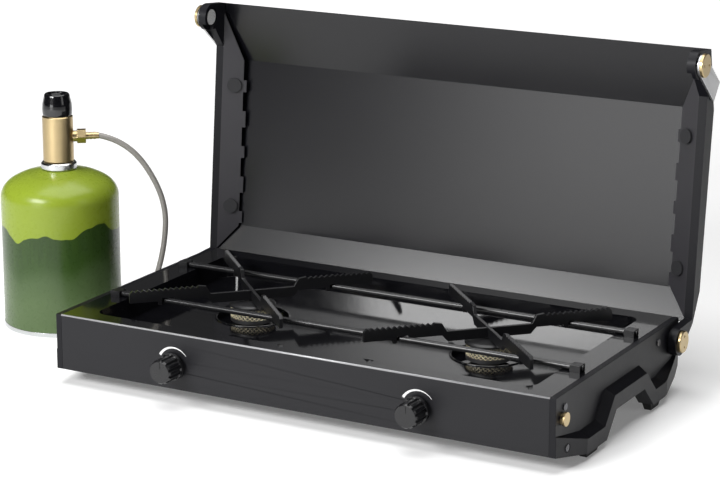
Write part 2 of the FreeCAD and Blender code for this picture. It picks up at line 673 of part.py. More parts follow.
def knob_spindle(side):
    x = side * BURNER_X
    return rod(SPINDLE_RADIUS, (x, -KNOB_GAP - 11, KNOB_Z), (x, VALVE_START + 13, KNOB_Z))


# ---- lid --------------------------------------------------------------------------------------------
def lid_outer_line():
    """The closed lid's outer surface, front to rear, as Y and Z."""
    return [(HINGE_Y - LID_REACH, RIM_Z + FRONT_EDGE_RISE),
            (HINGE_Y - FRONT_BEND_REACH, RIM_Z + FRONT_BEND_RISE),
            (HINGE_Y - REAR_BEND_REACH, RIM_Z + REAR_BEND_RISE),
            (HINGE_Y - REAR_EDGE_REACH, RIM_Z + REAR_EDGE_RISE)]


def offset_line(line, distance):
    """The line moved down square to itself, with its bends mitred."""
    normals = []
    for (y0, z0), (y1, z1) in zip(line, line[1:]):
        length = math.hypot(y1 - y0, z1 - z0)
        normals.append(((z1 - z0) / length, -(y1 - y0) / length))
    moved = []
    for index, (y, z) in enumerate(line):
        first = normals[max(index - 1, 0)]
        last = normals[min(index, len(normals) - 1)]
        ny, nz = first[0] + last[0], first[1] + last[1]
        scale = 2 * distance / (ny * ny + nz * nz)
        moved.append((y + ny * scale, z + nz * scale))
    return moved


def swung_open(shape):
    return shape.rotated(V(0, HINGE_Y, HINGE_Z), X_AXIS, -OPEN_ANGLE)


def lid_panel():
    line = lid_outer_line()
    outline = line + offset_line(line, LID_SHEET)[::-1]
    return side_plate(outline, -LID_CAP_IN, LID_CAP_IN)


def stud_passage():
    """The space that the closed lid's ear leaves for the latch stud on the stove's end cap."""
    edge = STUD_Y - STUD_HEAD - SIDE_GAP
    high = STUD_Z + STUD_HEAD + 1.5
    return block(LID_CAP_IN - 1, LID_CAP_OUT - EAR_PLATE, edge, edge + 30, EAR_Z - 30, high)


def lid_cap(side):
    line = lid_outer_line()
    wall = side_plate([(line[0][0], RIM_Z)] + line + [(line[-1][0], RIM_Z)], LID_CAP_IN, LID_CAP_OUT)
    barrel = rod(BARREL_RADIUS, (LID_CAP_IN, HINGE_Y, HINGE_Z), (LID_CAP_OUT, HINGE_Y, HINGE_Z))
    r = BARREL_RADIUS
    lower = line[-1]
    neck_outline = [(HINGE_Y - r, HINGE_Z), (HINGE_Y - r - 3, RIM_Z), line[-2], lower,
                    (HINGE_Y, HINGE_Z + r), (HINGE_Y, HINGE_Z)]
    neck = side_plate(neck_outline, LID_CAP_IN, LID_CAP_OUT)
    ear = rod(EAR_RADIUS, (LID_CAP_IN, EAR_Y, EAR_Z), (LID_CAP_OUT, EAR_Y, EAR_Z))
    ear_neck_outline = [(EAR_Y - EAR_RADIUS, EAR_Z + 1), (line[0][0], RIM_Z), (EAR_Y + 28, RIM_Z),
                        (EAR_Y + 10.5, EAR_Z + 5.5), (EAR_Y, EAR_Z)]
    ear_neck = side_plate(ear_neck_outline, LID_CAP_IN, LID_CAP_OUT)
    cap = fuse([wall, neck, barrel, ear_neck, ear])
    tools = [rod(HINGE_BOLT, (0, HINGE_Y, HINGE_Z), (LID_CAP_OUT + 1, HINGE_Y, HINGE_Z)),
             rod(HINGE_BOLT, (0, EAR_Y, EAR_Z), (LID_CAP_OUT + 1, EAR_Y, EAR_Z)),
             rod(EAR_RECESS, (LID_CAP_IN - 1, EAR_Y, EAR_Z), (LID_CAP_OUT - EAR_PLATE, EAR_Y, EAR_Z)),
             stud_passage()]
    return mirrored(cut(cap, tools), side)


def strip_height(x):
    """Height of the end strip's lower face at a distance x from the middle."""
    return RIM_Z + STRIP_RISE * (LID_CAP_IN - x) / STRIP_WIDTH


def strip_piece(corners):
    """A flat piece of the end strip from its X, Y corners on the sloping face."""
    face = polygon([V(x, y, strip_height(x)) for x, y in corners])
    return face.extrude(V(0, 0, STRIP_SHEET))


def lid_end_strip(side):
    """Sloping stiffener inside the lid's end, with a stepped free edge that narrows to the front and rear."""
    root = LID_CAP_IN
    edge = root - STRIP_WIDTH
    front_tip = HINGE_Y - LID_REACH + 9
    front = HINGE_Y - FRONT_BEND_REACH
    rear = HINGE_Y - REAR_BEND_REACH
    rear_tip = HINGE_Y - REAR_EDGE_REACH - 4
    pieces = [strip_piece([(root, front), (edge + STRIP_TOOTH_DEPTH, front), (edge + STRIP_TOOTH_DEPTH, rear),
                           (root, rear)])]
    first = HINGE_Y - REAR_BEND_REACH - 8
    for index in range(STRIP_TEETH):
        middle = first - index * STRIP_TOOTH_PITCH
        half = 7.5 if index % 2 else 5.5
        near, far = middle - half, middle + half
        inner = edge + STRIP_TOOTH_DEPTH + 0.5
        pieces.append(strip_piece([(inner, near), (edge, near), (edge, far), (inner, far)]))
    inner_edge = edge + STRIP_TOOTH_DEPTH
    pieces.append(strip_piece([(root, front_tip), (inner_edge, front), (root, front)]))
    pieces.append(strip_piece([(root, rear), (inner_edge, rear), (root, rear_tip)]))
    return mirrored(fuse(pieces), side)


def lid_bumpers():
    bumpers = []
    x = LID_CAP_IN - STRIP_WIDTH / 2
    for _, side in SIDES:
        for reach in BUMPER_REACH:
            y = HINGE_Y - reach
            tilt = V(STRIP_RISE, 0, STRIP_WIDTH)
            tilt.normalize()
            top = V(x, y, strip_height(x))
            bumpers.append(mirrored(Part.makeCylinder(BUMPER_RADIUS, BUMPER_HEIGHT, top, tilt * -1), side))
    return Part.makeCompound(bumpers)


def handle_nuts():
    nuts = []
    start, end = LID_CAP_IN + 0.7, LID_CAP_OUT - EAR_PLATE
    for _, side in SIDES:
        nut = rod(NUT_RADIUS, (start, EAR_Y, EAR_Z), (end, EAR_Y, EAR_Z))
        bore = rod(HINGE_BOLT, (start + 1.2, EAR_Y, EAR_Z), (end + 1, EAR_Y, EAR_Z))
        nuts.append(mirrored(nut.cut(bore), side))
    return Part.makeCompound(nuts)


def handle_bolts():
    bolts = []
    face = LID_CAP_OUT + ARM_THICK + 2 * GAP
    start = LID_CAP_IN + 0.7 + 1.2
    for _, side in SIDES:
        shank = rod(HINGE_BOLT - RUN_FIT, (start, EAR_Y, EAR_Z), (face, EAR_Y, EAR_Z))
        bolts.append(mirrored(fuse([coin_disc(HANDLE_DISC, face, EAR_Y, EAR_Z), shank]), side))
    return Part.makeCompound(bolts)


def lid_screws():
    """Screws that hold the lid's end caps to its panel, along the outer surface."""
    screws = []
    line = lid_outer_line()
    front, rear = line[1], line[2]
    for _, side in SIDES:
        for share in (0.08, 0.5, 0.92):
            y = front[0] + share * (rear[0] - front[0])
            z = front[1] + share * (rear[1] - front[1])
            x = (LID_CAP_IN + LID_CAP_OUT) / 2
            screws.append(mirrored(Part.makeCylinder(2.6, 1.0, V(x, y, z + 0.1)), side))
    return Part.makeCompound(screws)


# ---- handle -----------------------------------------------------------------------------------------
def on_arm(along, across):
    """A Y, Z point of the folded handle: along its arm from the pivot, and across towards the front."""
    angle = math.radians(ARM_ANGLE)
    return (EAR_Y + along * math.cos(angle) - across * math.sin(angle),
            EAR_Z + along * math.sin(angle) + across * math.cos(angle))


def handle_arm(side):
    x0 = LID_CAP_OUT + GAP
    x1 = x0 + ARM_THICK
    half = ARM_WIDTH / 2
    strap = side_plate([on_arm(0, -half), on_arm(ARM_LENGTH + ARM_THICK, -half),
                        on_arm(ARM_LENGTH + ARM_THICK, half), on_arm(0, half)], x0, x1)
    eye = rod(half, (x0, EAR_Y, EAR_Z), (x1, EAR_Y, EAR_Z))
    tab = side_plate([on_arm(ARM_LENGTH, 0.5), on_arm(ARM_LENGTH + ARM_THICK, 0.5),
                      on_arm(ARM_LENGTH + ARM_THICK, half), on_arm(ARM_LENGTH, half)], x1 - TAB_LENGTH, x1)
    bore = rod(HINGE_BOLT, (x0 - 1, EAR_Y, EAR_Z), (x1 + 1, EAR_Y, EAR_Z))
    tools = [bore]
    for at in grip_screw_places():
        start, end = on_arm(ARM_LENGTH - 1, half / 2), on_arm(ARM_LENGTH + ARM_THICK + 1, half / 2)
        tools.append(rod(GRIP_SCREW, (at, *start), (at, *end)))
    return mirrored(cut(fuse([strap, eye, tab]), tools), side)


def grip_screw_places():
    tab_end = LID_CAP_OUT + GAP + ARM_THICK - TAB_LENGTH
    return (tab_end + 5.0,)


def handle_grip():
    base = ARM_LENGTH + ARM_THICK
    low, high = GRIP_OFFSET - GRIP_WIDTH / 2, GRIP_OFFSET + GRIP_WIDTH / 2
    corners = [on_arm(base, low), on_arm(base + GRIP_THICK, low), on_arm(base + GRIP_THICK, high),
               on_arm(base, high)]
    bar = side_plate(corners, -GRIP_HALF, GRIP_HALF)
    long_edges = [e for e in bar.Edges if abs(e.BoundBox.XLength - 2 * GRIP_HALF) < 0.01]
    bar = bar.makeFillet(GRIP_CORNER, long_edges[:])
    tools = []
    for _, side in SIDES:
        for at in grip_screw_places():
            start, end = on_arm(base - 1, ARM_WIDTH / 4), on_arm(base + 9, ARM_WIDTH / 4)
            tools.append(rod(GRIP_SCREW, (side * at, *start), (side * at, *end)))
    return cut(bar, tools)


def grip_screws():
    screws = []
    for _, side in SIDES:
        for at in grip_screw_places():
            start, end = on_arm(ARM_LENGTH, ARM_WIDTH / 4), on_arm(ARM_LENGTH + ARM_THICK + 9, ARM_WIDTH / 4)
            screws.append(rod(GRIP_SCREW - PRESS_FIT, (side * at, *start), (side * at, *end)))
    return Part.makeCompound(screws)


# ---- cartridge and regulator ------------------------------------------------------------------------
def dome_edge(shrink):
    """A smooth curve over the dome, from the shoulder in to the collar."""
    r, top = CARTRIDGE_RADIUS - shrink, CARTRIDGE_TOP - shrink
    rise = top - CARTRIDGE_SHOULDER
    shares = ((1, 0), (0.985, 0.2), (0.93, 0.42), (0.82, 0.63), (0.65, 0.81))
    points = [V(r * across, 0, CARTRIDGE_SHOULDER + rise * up) for across, up in shares]
    curve = Part.BSplineCurve()
    curve.interpolate(Points=points + [V(COLLAR_RADIUS, 0, top)], InitialTangent=V(0, 0, 1),
                      FinalTangent=V(-1, 0, 0.25))
    return curve.toShape()


def straight_edges(points):
    return Part.makePolygon([V(r, 0, z) for r, z in points]).Edges


def cartridge_shell():
    r, wall = CARTRIDGE_RADIUS, CARTRIDGE_WALL
    throat, top = COLLAR_RADIUS - 4, CARTRIDGE_TOP
    edges = straight_edges([(0, SEAM_HEIGHT), (r, SEAM_HEIGHT), (r, CARTRIDGE_SHOULDER)])
    edges.append(dome_edge(0))
    edges += straight_edges([(COLLAR_RADIUS, top), (throat, top), (throat, top - wall),
                             (COLLAR_RADIUS, top - wall)])
    edges.append(dome_edge(wall))
    edges += straight_edges([(r - wall, CARTRIDGE_SHOULDER), (r - wall, SEAM_HEIGHT + wall),
                             (0, SEAM_HEIGHT + wall), (0, SEAM_HEIGHT)])
    outline = Part.Wire(Part.__sortEdges__(edges))
    solid = Part.Face(outline).revolve(V(0, 0, 0), Z_AXIS, 360)
    return solid.translated(V(CARTRIDGE_X, CARTRIDGE_Y, 0))


def cartridge_seam():
    profile = [(SEAM_RADIUS - 3, 0), (SEAM_RADIUS, 0), (SEAM_RADIUS, SEAM_HEIGHT),
               (SEAM_RADIUS - 3, SEAM_HEIGHT)]
    return turned(profile, CARTRIDGE_X, CARTRIDGE_Y)


def cartridge_collar():
    bore = REGULATOR_STEM + RUN_FIT
    top = CARTRIDGE_TOP + COLLAR_HEIGHT
    profile = [(bore, CARTRIDGE_TOP), (COLLAR_RADIUS - 1, CARTRIDGE_TOP), (COLLAR_RADIUS, CARTRIDGE_TOP + 1),
               (COLLAR_RADIUS, top - 1.5), (COLLAR_RADIUS - 1.5, top), (bore, top)]
    return turned(profile, CARTRIDGE_X, CARTRIDGE_Y)


def regulator_body():
    base = CARTRIDGE_TOP + COLLAR_HEIGHT + GAP
    r, top = REGULATOR_RADIUS, base + REGULATOR_HEIGHT
    profile = [(0, base - STEM_DEPTH), (REGULATOR_STEM, base - STEM_DEPTH), (REGULATOR_STEM, base),
               (r - 1, base), (r, base + 1), (r, top - 1), (r - 1, top), (GAS_SPINDLE, top),
               (GAS_SPINDLE, top + GAS_SPINDLE_LENGTH), (0, top + GAS_SPINDLE_LENGTH)]
    body = turned(profile, CARTRIDGE_X, CARTRIDGE_Y)
    boss = rod(OUTLET_BOSS, outlet_point(0), outlet_point(OUTLET_BOSS_END))
    return fuse([body, boss])


def outlet_point(reach):
    """A point on the regulator outlet's axis."""
    angle = math.radians(OUTLET_ANGLE)
    z = CARTRIDGE_TOP + COLLAR_HEIGHT + OUTLET_HEIGHT
    return (CARTRIDGE_X + reach * math.cos(angle), CARTRIDGE_Y + reach * math.sin(angle), z)


def outlet_nut():
    angle = math.radians(OUTLET_ANGLE)
    heading = (math.cos(angle), math.sin(angle), 0)
    return hexagon_prism(NUT_ACROSS_FLATS, outlet_point(OUTLET_BOSS_END), heading, NUT_END - OUTLET_BOSS_END)


def regulator_knob():
    """Barrel-shaped knob with a dished top."""
    r, top, height = GAS_KNOB_RADIUS, GAS_KNOB_TOP_RADIUS, GAS_KNOB_HEIGHT
    bore, depth = GAS_SPINDLE + RUN_FIT, GAS_SPINDLE_LENGTH + 0.5
    dish = top - 2.6
    profile = [(bore, 0), (r - 0.5, 0), (r, 1.2), (r + 0.2, 6), (r - 0.1, 10.5), (top + 0.2, height - 1),
               (top - 0.7, height), (dish, height), (dish - 0.8, height - 1.6), (0, height - 1.6),
               (0, depth), (bore, depth)]
    base = CARTRIDGE_TOP + COLLAR_HEIGHT + GAP + REGULATOR_HEIGHT + GAP
    return turned([(x, z + base) for x, z in profile], CARTRIDGE_X, CARTRIDGE_Y)


def crimped(radius, at):
    """A ferrule with rings crimped in it; at gives the point at a distance along its axis."""
    rings = 3
    pitch = FERRULE_LENGTH / (rings + 0.5)
    core = rod(radius - CRIMP_DEPTH, at(0), at(FERRULE_LENGTH))
    lands = [rod(radius, at(index * pitch), at((index + 0.7) * pitch)) for index in range(rings + 1)
             if (index + 0.7) * pitch < FERRULE_LENGTH + 0.1]
    return fuse([core] + lands)


def regulator_ferrule():
    return crimped(FERRULE_RADIUS, lambda reach: outlet_point(NUT_END + reach))


def stove_ferrule():
    start = DEPTH + INLET_LENGTH
    return crimped(FERRULE_RADIUS + 0.8, lambda reach: (INLET_X, start + reach, INLET_Z))


# ---- assembly ---------------------------------------------------------------------------------------
def build_nodes():
    nodes = {"front_panel": front_panel(), "bottom_pan": bottom_pan(), "hob_tray": hob_tray(),
             "rubber_feet": rubber_feet(), "cap_screws": cap_screws(), "latch_studs": latch_studs(),
             "hinge_bolts": hinge_bolts(), "support_rods": support_rods(), "rod_clips": rod_clips(),
             "manifold_pipe": manifold_pipe(), "gas_inlet": gas_inlet(),
             "regulator_body": regulator_body(), "outlet_nut": outlet_nut(),
             "regulator_ferrule": regulator_ferrule(), "stove_ferrule": stove_ferrule(),
             "regulator_knob": regulator_knob(), "cartridge_shell": cartridge_shell(),
             "cartridge_seam": cartridge_seam(), "cartridge_collar": cartridge_collar(),
             "lid_panel": swung_open(lid_panel()), "lid_bumpers": swung_open(lid_bumpers()),
             "lid_screws": swung_open(lid_screws()), "handle_nuts": swung_open(handle_nuts()),
             "handle_bolts": swung_open(handle_bolts()), "handle_grip": swung_open(handle_grip()),
             "grip_screws": swung_open(grip_screws())}
    for name, side in SIDES:
        nodes["end_cap_" + name] = end_cap(side)
        nodes["burner_bowl_" + name] = burner_bowl(side)
        nodes["burner_body_" + name] = burner_body(side)
        nodes["burner_mesh_" + name] = burner_mesh(side)
        nodes["burner_cap_" + name] = burner_cap(side)
        nodes["mixing_tube_" + name] = mixing_tube(side)
        nodes["valve_body_" + name] = valve_body(side)
        nodes["gas_jet_" + name] = gas_jet(side)
        nodes["gas_knob_" + name] = gas_knob(side)
        nodes["knob_spindle_" + name] = knob_spindle(side)
        nodes["pot_blade_notched_" + name] = blade(side * BURNER_X, 1, True)
        nodes["pot_blade_crossing_" + name] = blade(side * BURNER_X, -1, False)
        nodes["lid_cap_" + name] = swung_open(lid_cap(side))
        nodes["lid_end_strip_" + name] = swung_open(lid_end_strip(side))
        nodes["handle_arm_" + name] = swung_open(handle_arm(side))
    return nodes


def origin_shift(shapes):
    """From the stove's frame to the part's: the bottom centre of every piece goes to the origin."""
    box = FreeCAD.BoundBox()
    for shape in shapes:
        box.add(shape.optimalBoundingBox(False))
    return V(-box.Center.x, -box.Center.y, -box.ZMin)


def hose(shift):
    """The hose from the regulator's ferrule to the stove's, and its section times length."""
    start = V(*outlet_point(NUT_END + FERRULE_LENGTH)) + shift
    end = V(INLET_X, DEPTH + INLET_LENGTH + FERRULE_LENGTH, INLET_Z) + shift
    near = [tuple(start + V(*offset)) for offset in HOSE_FROM_REGULATOR]
    far = [tuple(end + V(*offset)) for offset in HOSE_FROM_STOVE]
    route = [tuple(start)] + near + far + [tuple(end)]
    tube, length, radii = tube_along(route, HOSE_DIAMETER / 2)
    expected = math.pi * HOSE_DIAMETER ** 2 / 4 * length
    print("hose route", [tuple(round(c, 2) for c in p) for p in route])
    print("hose length %.1f  volume %.1f  section x length %.1f" % (length, tube.Volume, expected))
    print("hose bend radii", [round(r, 1) for r in radii], "diameter", HOSE_DIAMETER)
    return tube


def main():
    os.makedirs("parts", exist_ok=True)
    nodes = build_nodes()
    shift = origin_shift(nodes.values())
    print("shift", tuple(round(c, 4) for c in shift))
    nodes = {name: shape.translated(shift) for name, shape in nodes.items()}
    nodes["hose"] = hose(shift)
    for name, shape in sorted(nodes.items()):
        solids = shape.Solids
        if not solids or not all(solid.isValid() and solid.isClosed() for solid in solids):
            print("BAD", name, len(solids))
        shape = solids[0] if len(solids) == 1 else Part.makeCompound(solids)
        shape.exportStep("parts/%s.step" % name)
    print(len(nodes), "nodes")


main()
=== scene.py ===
"""Two-burner suitcase camping stove: its finishes, its fine pieces, and the studio it stands in. Metres."""
import bmesh
import bpy
import math
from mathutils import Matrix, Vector


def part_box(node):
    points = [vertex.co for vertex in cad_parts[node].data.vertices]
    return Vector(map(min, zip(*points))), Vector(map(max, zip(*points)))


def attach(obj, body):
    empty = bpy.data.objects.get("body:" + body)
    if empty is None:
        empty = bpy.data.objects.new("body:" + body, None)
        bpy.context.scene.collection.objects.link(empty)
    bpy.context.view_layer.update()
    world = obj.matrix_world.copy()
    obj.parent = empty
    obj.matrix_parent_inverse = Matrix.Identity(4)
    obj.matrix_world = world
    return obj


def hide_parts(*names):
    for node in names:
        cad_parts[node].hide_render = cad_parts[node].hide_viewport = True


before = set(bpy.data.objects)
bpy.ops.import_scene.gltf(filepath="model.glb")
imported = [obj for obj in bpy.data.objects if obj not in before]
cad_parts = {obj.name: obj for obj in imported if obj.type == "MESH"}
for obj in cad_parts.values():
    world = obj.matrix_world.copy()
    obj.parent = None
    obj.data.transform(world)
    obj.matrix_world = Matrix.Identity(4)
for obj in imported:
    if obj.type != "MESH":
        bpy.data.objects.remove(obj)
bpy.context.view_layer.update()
scene = bpy.context.scene
MM = 0.001
PANEL_BLACK = (0.010, 0.010, 0.012)
ARC_RADIUS = 15.3 * MM          # the white flame arc round each knob
ARC_START, ARC_END = math.radians(38), math.radians(152)


# ---- camera and hose --------------------------------------------------------------------------------
def make_camera():
    lens = bpy.data.cameras.new("camera")
    lens.lens = 124.75
    lens.clip_end = 40
    camera = bpy.data.objects.new("camera", lens)
    camera.location = (1.0423, -1.7772, 0.6647)
    camera.rotation_euler = (math.radians(75.004), 0, math.radians(29.055))
    scene.collection.objects.link(camera)
    scene.camera = camera


HOSE_DIAMETER = 0.0052
HOSE_ROUTE = [
    (-0.23385, 0.03361, 0.17350),
    (-0.22085, 0.04301, 0.17000),
    (-0.20155, 0.05721, 0.14950),
    (-0.18575, 0.06871, 0.10900),
    (-0.18735, 0.06751, 0.06800),
    (-0.19665, 0.06071, 0.02800),
    (-0.20295, 0.08391, 0.00600),
    (-0.20300, 0.12195, 0.00500),
    (-0.19000, 0.16195, 0.00550),
    (-0.16100, 0.19195, 0.00900),
    (-0.12400, 0.19195, 0.01600),
    (-0.10400, 0.16395, 0.02400),
    (-0.10320, 0.13215, 0.02700),
]


def make_hose():
    curve = bpy.data.curves.new("gas_hose", "CURVE")
    curve.dimensions = "3D"
    spline = curve.splines.new("NURBS")
    spline.points.add(len(HOSE_ROUTE) - 1)
    for point, place in zip(spline.points, HOSE_ROUTE):
        point.co = (*place, 1)
    spline.use_endpoint_u = True
    spline.order_u = 3
    spline.resolution_u = 16
    curve.bevel_depth = HOSE_DIAMETER / 2
    curve.bevel_resolution = 6
    hose = bpy.data.objects.new("gas_hose", curve)
    scene.collection.objects.link(hose)
    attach(hose, "base")
    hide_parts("hose")
    return hose


make_camera()
hose = make_hose()


# ---- shader writing ---------------------------------------------------------------------------------
class Reading:
    """One output socket. Arithmetic on it adds Math nodes to its tree."""

    def __init__(self, shading, socket):
        self.shading = shading
        self.socket = socket

    def calc(self, operation, *values):
        return self.shading.node("Math", {"operation": operation}, dict(enumerate(values)))

    def __add__(self, other):
        return self.calc("ADD", self, other)

    def __radd__(self, other):
        return self.calc("ADD", other, self)

    def __sub__(self, other):
        return self.calc("SUBTRACT", self, other)

    def __rsub__(self, other):
        return self.calc("SUBTRACT", other, self)

    def __mul__(self, other):
        return self.calc("MULTIPLY", self, other)

    def __rmul__(self, other):
        return self.calc("MULTIPLY", other, self)

    def __pow__(self, other):
        return self.calc("POWER", self, other)

    def __abs__(self):
        return self.calc("ABSOLUTE", self)

    def within(self, low, high):
        """0 at low, 1 at high, and held there outside."""
        inputs = {"Value": self, "From Min": low, "From Max": high}
        return self.shading.node("MapRange", {"clamp": True}, inputs)


class Shading:
    """A node tree and the ways of adding to it."""

    def __init__(self, tree):
        self.tree = tree

    def node(self, kind, settings=None, inputs=None, output=0):
        made = self.tree.nodes.new("ShaderNode" + kind)
        for name, value in (settings or {}).items():
            if name == "stops":
                self.set_stops(made.color_ramp, value)
            else:
                setattr(made, name, value)
        for socket, value in (inputs or {}).items():
            self.feed(made.inputs[socket], value)
        return Reading(self, made.outputs[output])

    def set_stops(self, ramp, stops):
        while len(ramp.elements) < len(stops):
            ramp.elements.new(1.0)
        for element, (position, colour) in zip(ramp.elements, stops):
            element.position = position
            element.color = (*colour, 1)

    def feed(self, socket, value):
        if isinstance(value, Reading):
            self.tree.links.new(value.socket, socket)
        elif socket.type == "RGBA":
            socket.default_value = (*value, 1)
        else:
            socket.default_value = value

    def axes(self, vector):
        """X, Y and Z of a vector."""
        split = self.node("SeparateXYZ", inputs={0: vector})
        return [Reading(self, output) for output in split.socket.node.outputs]


class Finish(Shading):
    """One material: a Principled surface and the nodes that vary it."""

    def __init__(self, name, **surface):
        self.material = bpy.data.materials.new(name)
        self.material.use_nodes = True
        super().__init__(self.material.node_tree)
        self.surface = self.tree.nodes["Principled BSDF"]
        self.place = self.node("TexCoord", output="Object")
        for socket, value in surface.items():
            self.set(socket.replace("_", " ").title().replace("Ior", "IOR"), value)

    def set(self, socket, value):
        self.feed(self.surface.inputs[socket], value)

    def blend(self, amount, first, second):
        """A colour between two colours."""
        return self.node("Mix", {"data_type": "RGBA"}, {0: amount, 6: first, 7: second}, 2)

    def from_point(self, point):
        """The place on the surface, measured from a point."""
        return self.node("VectorMath", {"operation": "SUBTRACT"}, {0: self.place, 1: point})

    def noise(self, scale, detail=2.0, stretch=(1, 1, 1), vector=None):
        where = self.node("Mapping", inputs={"Vector": vector or self.place, "Scale": stretch})
        return self.node("TexNoise", inputs={"Vector": where, "Scale": scale, "Detail": detail})

    def relief(self, height, distance):
        self.set("Normal", self.node("Bump", inputs={"Height": height, "Distance": distance}))


def shades(colour, low, high):
    return [tuple(channel * scale for channel in colour) for scale in (low, high)]


def coated_black(name, colour, roughness, grain_size, depth, specular=0.5, coat=0.0, wear=0.12):
    """Black coat over sheet or moulding: fine grain, faint handling marks."""
    finish = Finish(name, specular_ior_level=specular, coat_weight=coat, coat_roughness=0.05)
    marks = finish.noise(14, 4.0)
    finish.set("Base Color", finish.blend(marks, *shades(colour, 0.85, 1.2)))
    finish.set("Roughness", roughness + (marks - 0.5) * wear + (finish.noise(160, 3.0) - 0.5) * (wear / 2))
    finish.relief(finish.noise(1 / grain_size, 2.0), depth)
    return finish


def panel_coat(knob_places, face_y):
    """The front panel's coat, with a white flame arc printed over each knob."""
    finish = coated_black("panel_coat", PANEL_BLACK, 0.42, 0.5 * MM, 0.008 * MM, 0.26)
    total = None
    x, y, z = finish.axes(finish.place)
    front = 1 - y.within(face_y + 0.1 * MM, face_y + 0.3 * MM)
    for place in knob_places:
        across, up = x - place.x, z - place.z
        radius = (across * across + up * up) ** 0.5
        angle = up.calc("ARCTAN2", up, across)
        share = angle.within(ARC_START, ARC_END)
        swept = share.within(0.0, 0.02) * (1 - share.within(0.97, 1.0))
        half_width = 0.15 * MM + share * 1.0 * MM
        line = (1 - (abs(radius - ARC_RADIUS) - half_width).within(-0.08 * MM, 0.08 * MM)) * swept
        total = line if total is None else total + line
    base = finish.blend(finish.noise(14, 4.0), *shades(PANEL_BLACK, 0.9, 1.15))
    finish.set("Base Color", finish.blend(total * front, base, (0.82, 0.82, 0.82)))
    return finish


def metal(name, colour, roughness, brush=(1, 1, 1), brush_scale=900, depth=0.004 * MM, shine=1.0):
    """Bare metal with drawn or turned marks and a little tarnish."""
    finish = Finish(name, metallic=shine)
    dull = finish.noise(55, 4.0)
    lines = finish.noise(brush_scale, 3.0, brush)
    finish.set("Base Color", finish.blend(dull, *shades(colour, 0.86, 1.06)))
    finish.set("Roughness", roughness + (lines - 0.5) * 0.18 + (dull - 0.5) * 0.1)
    finish.relief(lines, depth)
    return finish


def cartridge_lacquer(centre, ridge_height):
    """Lime lacquer over a darker wooded band, parted by a ridge line, and paler again towards the base."""
    finish = Finish("cartridge_lacquer", specular_ior_level=0.3, coat_weight=0.1, coat_roughness=0.2)
    place = finish.from_point(centre)
    x, y, z = finish.axes(place)
    around = finish.node("CombineXYZ", inputs={0: x, 1: y, 2: 0.0})
    hills = finish.noise(21, 0.0, vector=around)
    crags = finish.noise(60, 1.0, vector=around)
    line = ridge_height + (hills - 0.5) * 0.056 + (crags - 0.5) * 0.010
    above = (z - line).within(-0.25 * MM, 0.25 * MM)
    depth_below = (line - z).within(0.0, 0.062)
    trunks = finish.noise(420, 2.0, (1, 1, 0.07), vector=place)
    leaves = finish.noise(900, 1.0, vector=place)
    woods = finish.node("ValToRGB", {"stops": [(0.0, (0.028, 0.060, 0.010)), (0.45, (0.032, 0.068, 0.013)),
                                               (0.68, (0.058, 0.098, 0.034)), (1.0, (0.074, 0.118, 0.044))]},
                        {0: depth_below})
    shade = trunks.within(0.42, 0.6) * 0.5 + leaves.within(0.5, 0.62) * 0.2
    shade = shade * (1 - depth_below.within(0.3, 0.6))
    wooded = finish.blend(shade, woods, (0.018, 0.042, 0.008))
    lime = finish.blend(finish.noise(30, 2.0), (0.205, 0.275, 0.022), (0.228, 0.300, 0.026))
    finish.set("Base Color", finish.blend(above, wooded, lime))
    finish.set("Roughness", 0.28 + (finish.noise(240, 3.0) - 0.5) * 0.08)
    finish.relief(finish.noise(500, 2.0), 0.01 * MM)
    return finish


def oiled_oak():
    finish = Finish("oiled_oak", specular_ior_level=0.4)
    warp = finish.noise(9, 3.0, (0.4, 6, 6))
    rings = finish.noise(60, 4.0, (0.12, 3.0, 3.0))
    pores = finish.noise(900, 2.0, (0.06, 1, 1))
    tone = finish.blend(rings.within(0.35, 0.65), (0.270, 0.150, 0.062), (0.430, 0.270, 0.125))
    tone = finish.blend(warp.within(0.3, 0.7) * 0.4, tone, (0.350, 0.190, 0.080))
    finish.set("Base Color", finish.blend(pores.within(0.56, 0.64) * 0.7, tone, (0.130, 0.070, 0.030)))
    finish.set("Roughness", 0.46 + (rings - 0.5) * 0.15)
    finish.relief(pores.within(0.62, 0.5) + rings * 0.4, 0.05 * MM)
    return finish


def moulded_rubber(name, colour, roughness):
    finish = Finish(name, specular_ior_level=0.35)
    dust = finish.noise(70, 4.0)
    finish.set("Base Color", finish.blend(dust, *shades(colour, 0.8, 1.25)))
    finish.set("Roughness", roughness + (dust - 0.5) * 0.15)
    finish.relief(finish.noise(1400, 2.0), 0.02 * MM)
    return finish


def hose_skin():
    """Pale translucent-looking hose with a faint woven layer under the skin."""
    finish = Finish("hose_skin", specular_ior_level=0.5, coat_weight=0.3, coat_roughness=0.15)
    cloud = finish.noise(60, 3.0)
    weave = finish.noise(1500, 1.0)
    tone = finish.blend(cloud, (0.230, 0.218, 0.202), (0.300, 0.285, 0.265))
    finish.set("Base Color", finish.blend(weave.within(0.45, 0.6) * 0.4, tone, (0.185, 0.175, 0.160)))
    finish.set("Roughness", 0.34 + (cloud - 0.5) * 0.12)
    finish.relief(weave, 0.02 * MM)
    return finish


# ---- piece making -----------------------------------------------------------------------------------
def piece_from(name, build, body, finish, replaced=()):
    mesh = bpy.data.meshes.new(name)
    shape = bmesh.new()
    build(shape)
    bmesh.ops.recalc_face_normals(shape, faces=shape.faces)
    shape.to_mesh(mesh)
    shape.free()
    for polygon in mesh.polygons:
        polygon.use_smooth = True
    piece = bpy.data.objects.new(name, mesh)
    scene.collection.objects.link(piece)
    piece.data.materials.append(finish.material)
    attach(piece, body)
    if replaced:
        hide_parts(*replaced)
    return piece


